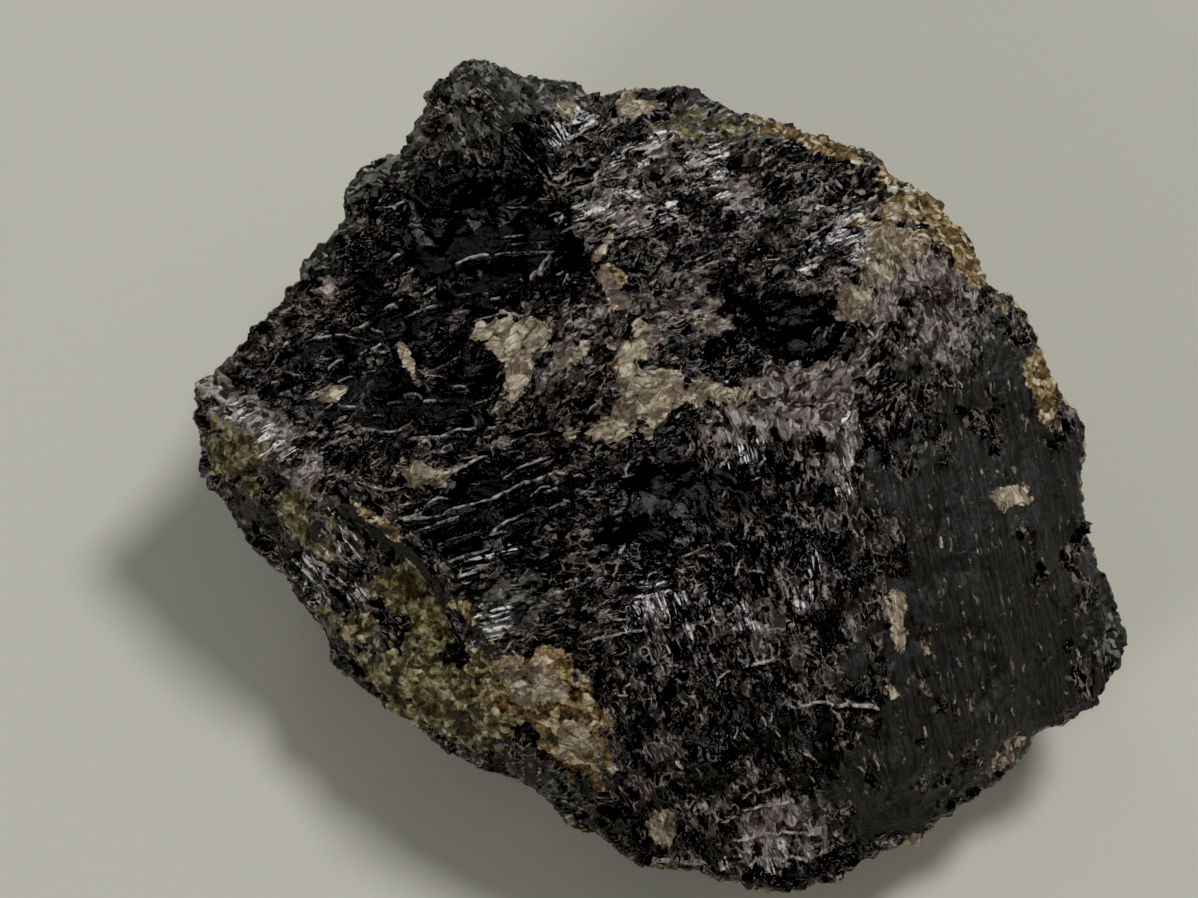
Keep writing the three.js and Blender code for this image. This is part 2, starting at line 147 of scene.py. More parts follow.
def smooth(low, high, value):
    """0 below low, 1 above high, and a smooth rise between them."""
    t = np.clip((value - low) / (high - low), 0, 1)
    return t * t * (3 - 2 * t)


# Fine mesh
def refine(points, faces, limit):
    """Splits each triangle's longest edge while it is over limit(triangle middles, normals)."""
    while True:
        corners = points[faces]
        ends = np.stack([faces, np.roll(faces, -1, axis=1)], axis=2)
        lengths = np.linalg.norm(points[ends[..., 0]] - points[ends[..., 1]], axis=2)
        longest = lengths.argmax(1)
        row = np.arange(len(faces))
        normals = np.cross(corners[:, 1] - corners[:, 0], corners[:, 2] - corners[:, 0])
        normals /= np.linalg.norm(normals, axis=1)[:, None] + 1e-12
        long = lengths[row, longest] > limit(corners.mean(1), normals)
        if not long.any():
            return points, faces
        keys = ends.min(2).astype(np.int64) * len(points) + ends.max(2)
        chosen = np.unique(keys[row[long], longest[long]])
        place = np.minimum(np.searchsorted(chosen, keys), len(chosen) - 1)
        marked = chosen[place] == keys
        middle = np.where(marked, len(points) + place, -1)
        points = np.vstack([points, (points[chosen // len(points)] + points[chosen % len(points)]) / 2])
        faces = split_faces(points, faces, marked, middle)


def split_faces(points, faces, marked, middle):
    """Parts each triangle at the middles of its marked edges, into two, three or four."""
    count = marked.sum(1)
    made = [faces[count == 0]]

    def turned(rows, first):
        order = (first[:, None] + np.arange(3)) % 3
        return np.take_along_axis(faces[rows], order, 1), np.take_along_axis(middle[rows], order, 1)

    rows = np.nonzero(count == 1)[0]
    f, m = turned(rows, marked[rows].argmax(1))
    made += [np.stack([f[:, 0], m[:, 0], f[:, 2]], 1), np.stack([m[:, 0], f[:, 1], f[:, 2]], 1)]
    rows = np.nonzero(count == 2)[0]
    f, m = turned(rows, marked[rows].argmin(1))  # edge 0 stays whole
    made.append(np.stack([f[:, 2], m[:, 2], m[:, 1]], 1))
    one = np.linalg.norm(points[f[:, 0]] - points[m[:, 1]], axis=1)
    other = np.linalg.norm(points[f[:, 1]] - points[m[:, 2]], axis=1)
    a, b, c, d = f[:, 0], f[:, 1], m[:, 1], m[:, 2]
    shorter = (one < other)[:, None]
    made.append(np.where(shorter, np.stack([a, b, c], 1), np.stack([a, b, d], 1)))
    made.append(np.where(shorter, np.stack([a, c, d], 1), np.stack([b, c, d], 1)))
    rows = np.nonzero(count == 3)[0]
    f, m = faces[rows], middle[rows]
    made += [np.stack([f[:, 0], m[:, 0], m[:, 2]], 1), np.stack([f[:, 1], m[:, 1], m[:, 0]], 1),
             np.stack([f[:, 2], m[:, 2], m[:, 1]], 1), m]
    return np.vstack(made)


def vertex_normals(points, faces):
    corners = points[faces]
    normals = np.cross(corners[:, 1] - corners[:, 0], corners[:, 2] - corners[:, 0])
    corner = faces.ravel()
    total = np.stack([np.bincount(corner, np.repeat(normals[:, k], 3), len(points)) for k in range(3)], 1)
    return total / (np.linalg.norm(total, axis=1)[:, None] + 1e-12)


SOFTEN_FORTH = 0.6  # the share of the way that a point moves towards its neighbours' middle
SOFTEN_BACK = -0.5  # and back in the next pass, which keeps the size


def soften(points, faces, passes, held):
    """Evens the points out by moves towards their neighbours' middle and back, except where held is 1."""
    a = faces.ravel()
    b = np.roll(faces, -1, axis=1).ravel()
    count = np.bincount(a, minlength=len(points))
    for number in range(passes):
        total = np.stack([np.bincount(a, points[b, k], len(points)) for k in range(3)], 1)
        middle = total / count[:, None]
        share = SOFTEN_FORTH if number % 2 == 0 else SOFTEN_BACK
        points = points + (middle - points) * share * (1 - held)[:, None]
    return points


def cad_triangles(node):
    """The CAD node's points (mm) and triangles, with points that coincide joined."""
    mesh = node.data
    mesh.calc_loop_triangles()
    co = np.empty(len(mesh.vertices) * 3)
    mesh.vertices.foreach_get("co", co)
    tri = np.empty(len(mesh.loop_triangles) * 3, np.int32)
    mesh.loop_triangles.foreach_get("vertices", tri)
    points, index = np.unique(np.round(co.reshape(-1, 3) / MM, 3), axis=0, return_inverse=True)
    faces = index.ravel()[tri].reshape(-1, 3)
    whole = (faces[:, 0] != faces[:, 1]) & (faces[:, 1] != faces[:, 2]) & (faces[:, 2] != faces[:, 0])
    return points, faces[whole]


# What shows where, in mm from the picture's left and top edges
# Patches: [x, y, half length, half width, lean in degrees, strength]; a positive lean rises to the right
PATCHES = {
    "tan": [
        [51.5, 33.8, 3.6, 1.7, 10, 1], [51.6, 37.0, 3.2, 1.2, 75, 0.9],
        [50.3, 40.2, 1.6, 1.0, 60, 0.7], [63.0, 34.4, 3.2, 2.0, -30, 0.9],
        [60.4, 24.6, 2.2, 0.7, 60, 0.8], [61.6, 29.8, 2.6, 0.8, -60, 0.9],
        [65.6, 38.8, 3.6, 2.2, -15, 1.2], [69.5, 39.6, 3.4, 1.5, 8, 1.1],
        [61.6, 42.2, 2.6, 2.4, 0, 0.8], [74.5, 39.8, 2.6, 1.0, 5, 0.7],
        [64.0, 10.7, 2.8, 1.3, 10, 0.9], [88.3, 25.8, 3.4, 2.2, 60, 1.2],
        [85.8, 30.0, 2.0, 1.5, 45, 0.9], [32.9, 29.2, 1.2, 0.9, 60, 1.1],
        [41.0, 36.3, 2.0, 0.7, -65, 1], [33.2, 39.2, 1.5, 0.7, 15, 0.8],
        [42.8, 47.6, 2.6, 1.5, 20, 0.9], [56.6, 11.0, 1.4, 1.0, 30, 0.9],
        [66.4, 82.6, 1.9, 1.3, 70, 1.1], [57.0, 43.5, 1.5, 1.0, 40, 0.5],
        [66.0, 24.8, 1.3, 1.0, 30, 0.7], [57.0, 36.0, 2.2, 0.8, 50, 0.5],
        [101.0, 49.5, 1.9, 1.5, 0, 0.9], [89.0, 61.0, 2.6, 1.2, -70, 0.7],
        [88.8, 69.0, 1.0, 0.8, 0, 0.6], [100.5, 75.5, 2.8, 1.0, 50, 0.6],
        [90.0, 84.8, 3.0, 0.9, 10, 0.7], [93.0, 63.5, 2.4, 1.0, 60, 0.4],
        [71.5, 31.5, 2.0, 1.6, 20, 0.5], [53.6, 68.4, 3.0, 1.8, -30, 0.8],
        [57.6, 73.4, 2.4, 1.6, -40, 0.8],
    ],
    "rust": [
        [90.6, 20.6, 4.2, 2.6, -40, 1], [84.0, 15.2, 4.4, 1.0, -24, 1],
        [77.5, 12.6, 3.4, 0.8, -20, 0.8], [95.6, 24.8, 4.6, 1.4, -50, 1],
        [88.8, 23.4, 3.0, 0.8, -25, 1], [105.0, 40.4, 4.6, 1.2, -75, 1.2],
        [64.6, 10.4, 2.6, 1.1, 8, 1], [99.0, 29.5, 3.0, 0.8, -45, 0.6],
        [55.5, 70.5, 5.4, 4.0, -35, 1.1], [58.0, 76.0, 3.0, 2.0, -30, 0.9],
        [50.0, 68.0, 4.0, 2.0, -40, 0.6], [37.5, 52.0, 5.0, 0.7, -38, 0.7],
        [46.0, 60.5, 3.0, 1.0, -50, 0.6], [61.6, 36.6, 2.0, 0.8, -40, 0.6],
        [61.6, 27.6, 1.6, 0.8, -30, 0.7], [57.0, 82.0, 3.0, 1.2, -40, 0.5],
        [60.0, 43.6, 2.0, 1.4, 20, 0.5],
    ],
    "olive": [
        [24.0, 46.0, 4.5, 2.2, -50, 1], [30.0, 52.0, 4.0, 2.0, -50, 0.7],
        [41.0, 60.0, 6.0, 3.0, -40, 1], [42.0, 68.0, 7.0, 4.0, -38, 1.1],
        [48.0, 71.0, 5.0, 3.5, -30, 0.9], [36.0, 62.5, 3.0, 2.5, -30, 0.7],
        [70.0, 12.5, 5.0, 2.0, -10, 0.5], [65.0, 41.5, 1.8, 1.0, 0, 0.6],
    ],
    "mauve": [
        [25.8, 43.5, 6.6, 3.0, -40, 1.1], [21.8, 39.0, 2.2, 1.5, 10, 0.9],
        [31.0, 46.5, 3.0, 2.0, -50, 1], [88.0, 30.5, 7.0, 1.6, 48, 1], [81.5, 40.5, 4.6, 3.4, 35, 1.2],
        [84.0, 45.0, 1.8, 3.2, 0, 1], [74.0, 42.0, 5.0, 1.6, 25, 0.8],
        [93.5, 28.0, 4.0, 2.6, -30, 0.7], [98.0, 33.0, 3.6, 1.8, -60, 0.7],
        [78.0, 83.0, 6.0, 3.6, 0, 1.1], [66.0, 18.0, 10.0, 5.0, 20, 0.45],
        [60.0, 20.0, 3.0, 2.0, 20, 0.6], [66.0, 30.0, 6.0, 3.0, 20, 0.4],
        [57.0, 33.0, 5.0, 2.0, 40, 0.5], [89.0, 64.0, 4.0, 6.0, 0, 0.4],
        [78.0, 62.0, 8.0, 4.0, 20, 0.35], [34.0, 62.0, 1.8, 1.6, 0, 0.8],
        [71.8, 32.2, 2.4, 1.8, 0, 0.8], [54.0, 38.0, 3.0, 4.0, 30, 0.5],
        [71.0, 46.0, 4.0, 2.0, -40, 0.5], [79.0, 39.0, 7.0, 2.6, 32, 1],
        [95.6, 34.0, 4.6, 3.2, -55, 0.75],
    ],
    "grey": [
        [97.5, 57.0, 21.0, 10.0, 73, 1.1], [104.0, 50.0, 12.0, 5.0, 80, 1],
        [101.0, 67.0, 12.0, 8.0, 60, 1.1], [90.0, 76.0, 9.0, 5.0, 70, 0.9],
        [105.5, 48.0, 6.0, 4.0, 80, 1.2],
    ],
    "rind": [  # a rough, dull grey crust
        [38.5, 16.2, 6.0, 2.6, 38, 1], [50.0, 8.5, 5.6, 3.0, -10, 1.1],
        [57.0, 9.5, 3.5, 1.8, -20, 0.9], [70.0, 11.0, 3.5, 2.4, -10, 0.9],
        [47.0, 12.5, 4.0, 3.0, 40, 0.8], [99.0, 35.0, 4.0, 3.0, -60, 0.7],
        [51.0, 61.0, 5.0, 2.6, 20, 0.6], [111.0, 64.0, 4.0, 2.4, 80, 1],
        [33.0, 24.0, 5.0, 1.6, 48, 0.7], [73.0, 13.0, 4.0, 2.0, -20, 0.6],
        [34.0, 62.5, 1.8, 1.4, 0, 0.9], [56.5, 79.5, 5.0, 1.6, -40, 0.7],
    ],
    # black: the glass's own black; the patches in the two hollows (near 79, 33 and 67, 50) and the thin ones
    # along the crease by the olive side are painted shade
    "black": [
        [47.0, 24.4, 11.0, 7.4, 14, 1.35], [54.0, 24.0, 5.0, 4.5, 0, 1.1],
        [43.0, 40.0, 8.5, 4.0, 10, 1.2], [79.0, 32.8, 5.6, 3.4, 0, 1.3],
        [67.0, 50.4, 6.2, 5.4, 20, 1.2], [49.5, 49.5, 6.0, 3.6, 15, 1], [40.0, 31.5, 7.0, 4.4, 25, 1],
        [52.0, 15.5, 2.5, 3.5, -40, 0.7], [62.5, 27.0, 3.0, 2.0, 20, 0.7],
        [69.0, 35.8, 3.6, 1.6, 10, 0.9], [33.0, 35.4, 5.0, 2.8, 30, 0.9],
        [75.0, 74.0, 9.0, 4.5, 0, 0.7], [38.5, 37.5, 9.0, 4.8, 12, 1], [50.5, 50.0, 8.4, 5.4, 18, 1.3],
        [41.0, 56.0, 10.0, 0.9, -46, 1], [24.5, 51.0, 2.0, 1.3, -50, 0.9],
        [37.0, 53.2, 4.0, 1.0, -42, 0.8], [44.0, 66.0, 4.0, 0.8, -36, 0.7],
        [50.0, 73.6, 5.0, 0.8, -32, 0.7],
    ],
    "fibre_glint": [  # satin fibre bundles with a painted glint: near-white colour where they catch the light
        [34.2, 54.0, 3.6, 1.6, -60, 1.5], [31.6, 57.6, 3.0, 1.4, -35, 1.4],
        [34.6, 58.8, 2.8, 1.3, -40, 1.3], [57.8, 12.4, 3.0, 1.3, 25, 1],
        [63.5, 15.4, 3.4, 1.2, 22, 0.9], [61.0, 20.4, 5.0, 1.3, 15, 1], [65.5, 21.6, 4.4, 1.4, 25, 1],
        [71.0, 16.6, 2.4, 2.6, 60, 0.9], [69.8, 18.6, 2.0, 1.2, 45, 0.8],
        [84.0, 20.4, 2.8, 2.0, 20, 0.65], [84.6, 23.6, 3.0, 2.6, 26, 0.75],
        [79.0, 27.0, 3.0, 1.4, 20, 0.55], [48.8, 56.4, 3.4, 0.9, 25, 0.9],
        [63.0, 61.0, 3.4, 2.6, 20, 0.9], [67.4, 60.8, 1.4, 1.6, 20, 1],
        [81.0, 57.6, 1.6, 3.4, -20, 0.9], [84.6, 46.4, 0.9, 4.0, -10, 1],
        [70.0, 63.0, 6.0, 3.0, 10, 0.55], [75.0, 45.0, 1.8, 1.0, 30, 0.8],
        [90.4, 18.8, 1.6, 0.8, 0, 1], [77.0, 85.5, 4.5, 1.6, 10, 0.8],
        [24.0, 41.5, 4.4, 0.9, -38, 0.9], [30.0, 45.5, 3.0, 0.9, -40, 0.9],
        [49.5, 62.0, 2.0, 2.6, -40, 0.6], [75.4, 21.2, 1.6, 0.9, 20, 0.7],
        [27.5, 44.5, 5.0, 1.6, -38, 0.7],
    ],
}

# Lips of the cleavage ledges, below which the ground falls; each lip's edge gets a pale band, partly paler
# wear and partly a painted highlight
# [left x, left y, right x, right y, bow upwards, size]
LIPS = [
    [45.4, 26.7, 49.2, 25.6, 0.3, 1.0], [49.0, 25.6, 56.2, 25.3, 0.2, 0.6],
    [45.0, 21.4, 53.6, 20.9, 0.4, 0.5], [45.2, 29.8, 49.2, 29.5, 0.2, 0.9],
    [44.4, 32.3, 47.2, 31.0, 0.2, 0.7], [47.0, 32.5, 53.0, 31.7, 0.5, 0.8],
    [50.0, 23.8, 56.6, 23.5, 0.2, 0.35], [50.4, 24.6, 57.0, 24.2, 0.2, 0.35],
    [37.4, 20.9, 39.8, 20.7, 0.1, 0.6], [39.0, 33.0, 45.0, 30.6, 0.6, 0.8],
    [30.0, 34.4, 36.0, 34.0, 0.5, 0.9], [33.8, 42.7, 38.0, 43.1, -0.2, 1.0],
    [37.6, 43.2, 41.0, 42.8, -0.2, 0.9], [41.9, 44.9, 48.2, 42.8, 0.4, 0.9],
    [44.7, 48.0, 49.2, 45.4, 0.3, 1.1], [48.8, 45.6, 55.8, 43.2, 0.5, 1.2],
    [35.2, 48.2, 40.4, 48.9, -0.3, 1.0], [40.2, 52.2, 44.4, 51.6, 0.1, 1.4],
    [44.0, 51.7, 49.4, 50.1, 0.2, 1.5], [49.0, 50.3, 53.6, 48.2, 0.2, 1.6],
    [53.2, 48.4, 57.2, 47.6, 0.3, 1.2], [40.2, 53.8, 46.0, 51.8, 0.2, 0.9],
    [44.1, 57.0, 49.4, 54.8, 0.2, 1.5], [45.4, 58.0, 50.4, 56.2, 0.2, 1.1],
    [43.6, 54.8, 48.4, 53.2, 0.3, 0.8], [49.0, 53.4, 55.0, 50.6, 0.4, 1.0],
    [50.0, 48.2, 55.4, 45.6, 0.3, 0.9], [57.0, 19.3, 61.0, 18.1, 0.2, 1.0],
    [60.6, 18.3, 65.2, 17.6, 0.2, 0.9], [57.0, 20.7, 62.2, 20.0, 0.2, 0.9],
    [61.8, 22.6, 67.0, 20.9, 0.3, 1.1], [61.0, 23.6, 66.2, 22.1, 0.3, 1.1],
    [62.8, 15.6, 66.0, 14.8, 0.2, 1.3], [56.0, 13.6, 59.0, 11.5, 0.2, 1.2],
    [57.6, 13.8, 60.6, 12.2, 0.2, 1.0], [64.0, 24.4, 70.0, 21.2, 0.3, 0.9],
    [80.0, 24.6, 87.0, 20.8, 0.4, 1.0], [80.5, 27.0, 86.8, 23.8, 0.3, 1.1],
    [77.0, 28.6, 84.0, 28.4, 0.4, 1.0], [68.0, 27.6, 74.0, 26.0, 0.3, 0.8],
    [63.0, 33.0, 68.0, 31.4, 0.5, 0.8], [68.0, 56.0, 74.0, 54.6, 0.6, 0.9],
    [54.0, 60.0, 63.0, 57.6, 0.4, 0.8], [58.0, 64.5, 68.0, 62.8, 0.4, 0.9],
    [72.0, 67.5, 80.0, 66.0, 0.4, 0.9], [79.0, 71.0, 83.6, 70.4, 0.3, 1.2],
    [83.4, 70.6, 88.0, 70.9, 0.2, 1.2], [50.6, 13.6, 57.0, 20.6, 0.2, 0.6],
    [52.0, 13.4, 56.4, 19.0, 0.2, 0.5], [65.0, 86.0, 71.0, 86.4, 0.3, 1.1],
    [72.0, 86.8, 81.0, 86.0, 0.5, 1.2], [71.0, 82.4, 80.0, 80.2, 0.6, 1.0],
    [72.0, 84.4, 83.0, 83.4, 0.6, 0.9], [74.0, 80.0, 79.0, 78.6, 0.3, 0.8],
    [19.6, 38.4, 23.0, 40.6, 0.1, 1.2], [21.0, 39.4, 25.2, 43.0, 0.2, 1.1],
    [24.0, 41.0, 27.6, 41.6, 0.2, 1.0], [25.0, 43.4, 29.0, 43.2, 0.2, 1.1],
    [28.2, 44.6, 32.0, 43.4, 0.2, 1.1], [28.6, 46.4, 32.8, 45.4, 0.2, 1.2],
    [30.0, 48.0, 33.4, 46.8, 0.2, 1.0],
]
# Fields of smaller lips: [x, y, half length, half width, lean, how many, lip length, spread of the lean]
LIP_FIELDS = [
    [70.0, 18.5, 15.0, 7.0, 20, 80, 3.0, 8], [60.0, 19.0, 5.0, 5.0, 14, 22, 3.6, 7],
    [82.5, 23.5, 5.5, 5.0, 24, 34, 2.8, 7], [47.0, 24.0, 11.0, 7.0, 3, 8, 1.6, 10],
    [38.0, 38.0, 11.0, 8.0, 8, 50, 2.2, 25], [49.0, 50.0, 9.0, 7.0, 18, 30, 2.8, 12],
    [61.0, 31.0, 12.0, 8.0, 28, 70, 1.6, 45], [66.0, 62.0, 13.0, 8.0, 18, 80, 1.4, 35],
    [73.0, 75.0, 15.0, 9.0, -70, 80, 1.4, 35], [86.0, 47.0, 3.0, 12.0, -70, 30, 1.6, 25],
    [27.0, 43.0, 7.0, 2.6, 25, 26, 1.6, 30], [78.0, 49.0, 6.0, 7.0, 30, 40, 1.4, 40],
    [98.0, 58.0, 12.0, 24.0, -78, 90, 1.3, 12], [40.0, 16.0, 8.0, 5.0, 30, 30, 1.6, 40],
    [50.0, 9.0, 6.0, 4.0, 40, 26, 1.6, 45], [84.0, 36.0, 8.0, 6.0, 45, 50, 1.5, 30],
    [64.0, 44.0, 12.0, 5.0, 25, 40, 1.6, 35], [36.0, 30.0, 9.0, 6.0, 15, 40, 1.8, 30],
]
LIP_HEIGHT = 0.34  # a lip of size 1, in mm
LIP_RISE = 0.34  # how far above its line a lip starts to rise
LIP_FALL = 0.24  # how far below its line the fall ends
LIP_TAIL = 1.7  # over which the ground below rises again
LIP_REACH = LIP_RISE + LIP_FALL + LIP_TAIL
FIELD_SALT = 700


def all_lips():
    """Every lip as LIPS gives them, with the fields' lips made from repeatable numbers."""
    lips = [list(lip) for lip in LIPS]
    for field, (x, y, long, wide, lean, count, length, spread) in enumerate(LIP_FIELDS):
        keys = np.stack([np.arange(count), np.full(count, field), np.zeros(count)], axis=1)
        turn, reach, tilt, size, bow = (hashed(keys, FIELD_SALT + k) for k in range(5))
        field_turn = math.radians(lean if abs(lean) < 45 else 0)
        u = long * np.sqrt(reach) * np.cos(2 * math.pi * turn)
        v = wide * np.sqrt(reach) * np.sin(2 * math.pi * turn)
        middle_x = x + u * math.cos(field_turn) + v * math.sin(field_turn)
        middle_y = y - u * math.sin(field_turn) + v * math.cos(field_turn)
        own = np.radians(lean + spread * (2 * tilt - 1))
        half = length * (0.35 + 0.75 * size) / 2
        for k in range(count):
            dx, dy = half[k] * math.cos(own[k]), half[k] * math.sin(own[k])
            lips.append([middle_x[k] - dx, middle_y[k] + dy, middle_x[k] + dx, middle_y[k] - dy,
                         half[k] * (0.6 * bow[k] - 0.15), 0.35 + 0.5 * size[k]])
    return lips


def lip_distances(place, lip):
    """For places near a lip: which they are, how far along it (0 to 1), and how far below its line."""
    x0, y0, x1, y1, bow, size = lip
    reach = LIP_REACH * size + abs(bow)
    beside = (place[:, 0] > min(x0, x1) - reach) & (place[:, 0] < max(x0, x1) + reach)
    near = np.nonzero(beside & (place[:, 1] > min(y0, y1) - reach) & (place[:, 1] < max(y0, y1) + reach))[0]
    length = math.hypot(x1 - x0, y1 - y0)
    ax, ay = (x1 - x0) / length, (y1 - y0) / length
    dx, dy = place[near, 0] - x0, place[near, 1] - y0
    share = (dx * ax + dy * ay) / length
    below = dy * ax - dx * ay + bow * 4 * share * (1 - share)
    inside = (share > -0.05) & (share < 1.05)
    inside &= (below > -LIP_RISE * size) & (below < (LIP_FALL + LIP_TAIL) * size)
    return near[inside], share[inside], below[inside]


def lip_relief(place, lips):
    """The lips' height in mm, and how near each place is to a lip's edge, which sets a pale band there:
    partly paler wear, partly a painted highlight.
    """
    height = np.zeros(len(place))
    edge = np.zeros(len(place))
    flat = np.pad(place, ((0, 0), (0, 1)))
    wobble = 0.1 * noise(flat, 1.3, 40) + 0.05 * noise(flat, 0.5, 42)
    strength = 0.75 + 0.5 * noise(flat, 1.6, 41)
    for lip in lips:
        near, share, below = lip_distances(place, lip)
        if not len(near):
            continue
        size = lip[5]
        below = below / size + wobble[near]
        fade = smooth(-0.03, 0.1, share) * (1 - smooth(0.86, 1.03, share)) * strength[near]
        rise = smooth(-LIP_RISE, 0, below)
        drop = 1.5 * smooth(0, LIP_FALL, below)
        back = 0.5 * smooth(LIP_FALL, LIP_FALL + LIP_TAIL, below)
        height[near] += LIP_HEIGHT * size * fade * (rise - drop + back)
        # A pale band along the lip's edge: partly paler wear, partly a painted highlight
        width = 0.05 + 0.11 / size
        glint = np.exp(-(((below + 0.06) / width) ** 2)) * min(0.45 + 0.6 * size, 1.1)
        edge[near] = np.maximum(edge[near], fade * glint)
    return height, edge


def patch(name, place, wobble):
    """How much a kind of patch covers each place, from 0 to about 1."""
    most = np.zeros(len(place))
    for x, y, long, wide, lean, strength in PATCHES[name]:
        turn = math.radians(lean)
        dx, dy = place[:, 0] - x, y - place[:, 1]
        along = (dx * math.cos(turn) + dy * math.sin(turn)) / long
        across = (dy * math.cos(turn) - dx * math.sin(turn)) / wide
        reach = np.sqrt(along**2 + across**2) + 0.45 * wobble
        most = np.maximum(most, strength * (1 - smooth(0.55, 1.35, reach)))
    return most


# Where the grain leans its own way: [x, y, radius, lean]
GRAINS = [
    [70, 18, 16, 22], [98, 52, 24, -76], [84, 38, 8, 48], [75, 72, 13, -70],
    [28, 44, 8, 30], [33, 62, 11, -52], [56, 35, 6, 40], [52, 10, 7, -48],
]
GENERAL_LEAN = 14  # where no other grain is near
GENERAL_PULL = 0.15  # the others' pull falls from 1 in their middle
LEANS = [GENERAL_LEAN] + [grain[3] for grain in GRAINS]
GRAIN_SALT, GRAIN_SALT_STEP = 100, 20


def leading_grain(points, place):
    """Which of LEANS each point's grain has, with ragged borders."""
    ragged = place + 1.6 * np.stack([rough(points, 3, 3, 50), rough(points, 3, 3, 54)], axis=1)
    pull = [np.full(len(place), GENERAL_PULL)]
    for x, y, radius, _ in GRAINS:
        pull.append(np.exp(-((np.hypot(ragged[:, 0] - x, ragged[:, 1] - y) / radius) ** 3)))
    return np.argmax(pull, axis=0)


def saw(value, sharp=0.8):
    """Parallel ledges at whole numbers of value: a slow fall and a sharp rise, and how near the edge is."""
    part = value - np.floor(value)
    edge = np.exp(-(((1 - part) / 0.13) ** 2)) + 0.6 * np.exp(-((part / 0.05) ** 2))
    return smooth(sharp, 1, part) - part + 0.5, edge


LARGE_LEDGE, SMALL_LEDGE = 3.6, 1.3  # mm from one ledge to the next
LARGE_CHIP, SMALL_CHIP = [3.0, 1.5, 2.4], [1.2, 0.6, 1.0]  # mm along the grain, across it and in depth
GRAIN_STRETCH = [0.4, 1, 0.5]


def grain_relief(lined, salt):
    """Ledges and chips along the grain: the ledges' height (mm), two sizes of chips, the ledges' edges."""
    sway = 0.9 * np.stack([noise(lined, 6, salt), noise(lined, 6, salt + 1), np.zeros(len(lined))], axis=1)
    lined = lined + sway
    down = -lined[:, 1]
    stretched = lined * GRAIN_STRETCH
    large_drift = 1.1 * noise(stretched, 4.5, salt + 2) + 0.35 * noise(stretched, 1.6, salt + 3)
    large, large_edge = saw(down / LARGE_LEDGE + large_drift)
    small_drift = 1.3 * noise(stretched, 2.2, salt + 4) + 0.5 * noise(stretched, 0.8, salt + 5)
    small, small_edge = saw(down / SMALL_LEDGE + small_drift, 0.75)
    numbers, offset, _ = chips(lined / LARGE_CHIP, salt + 6)
    chip = 0.5 * (numbers[:, 0] - 0.5) + 1.1 * (offset * (numbers - 0.5)).sum(1)
    numbers, offset, _ = chips(lined / SMALL_CHIP, salt + 12)
    fine_chip = 0.2 * (numbers[:, 0] - 0.5) + 0.45 * (offset * (numbers - 0.5)).sum(1)
    strength = 0.55 + 0.45 * noise(lined, 5, salt + 18)
    height = 0.55 * large * strength + 0.28 * small * (1.1 - strength * 0.5)
    return height, chip, fine_chip, large_edge * strength + 0.8 * small_edge * (1 - strength * 0.4)


# The longest edges (mm) of the fine triangles: in the picture's view, outside it, and on the flat foot
FINE_EDGE, HIDDEN_EDGE, FOOT_EDGE = ((0.32, 1.0, 6.0))
SOFTEN_PASSES = 30
REST_HEIGHT = 0.05  # mm, below which a point belongs to the flat foot
SKIRT_HEIGHT = 3  # mm, over which the relief grows from nothing at the foot
LEAST_HEIGHT = 0.25  # mm, for a point outside the foot
GRAIN_SIZE = 1.15  # mm, the crusts' grains
# The share of the ledges and chips that black, matt grey and crusted places go without
BLACK_CALM, MATT_CALM, CRUST_CALM = 0.92, 0.85, 0.7
FINE_CHIPS_KEPT = 0.15  # the share of the fine chips that stays everywhere
ROUGH_HEIGHT = 0.22  # mm
TAN_RISE, RUST_RISE = 0.08, 0.1  # mm, by which these stand out


def fine_triangles():
    """The CAD solid in fine triangles, the finest where the picture shows it."""
    points, faces = cad_triangles(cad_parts["aegirine_quartz"])

    def limit(middles, normals):
        facing = smooth(-0.1, 0.25, normals @ TO_SIGHT)
        longest = HIDDEN_EDGE + (FINE_EDGE - HIDDEN_EDGE) * facing
        return np.where(middles[:, 2] < REST_HEIGHT, FOOT_EDGE, longest)

    return refine(points, faces, limit)


def hidden_cover(cover, points, hidden):
    """The sides that the picture doesn't show: rusty rind with black and grey breaks in it."""
    side = rough(points, 14, 3, 31)
    cover["rust"] = np.maximum(cover["rust"], hidden * smooth(0.0, 0.6, side) * 0.8)
    cover["olive"] = np.maximum(cover["olive"], hidden * smooth(-0.1, 0.5, -side) * 0.7)
    cover["rind"] = np.maximum(cover["rind"], hidden * smooth(-0.1, 0.5, rough(points, 9, 2, 35)) * 0.9)
    cover["tan"] = np.maximum(cover["tan"], hidden * smooth(0.55, 0.9, rough(points, 8, 2, 37)))
    cover["black"] = np.maximum(cover["black"], hidden * smooth(0.2, 0.6, rough(points, 12, 2, 39)) * 0.9)


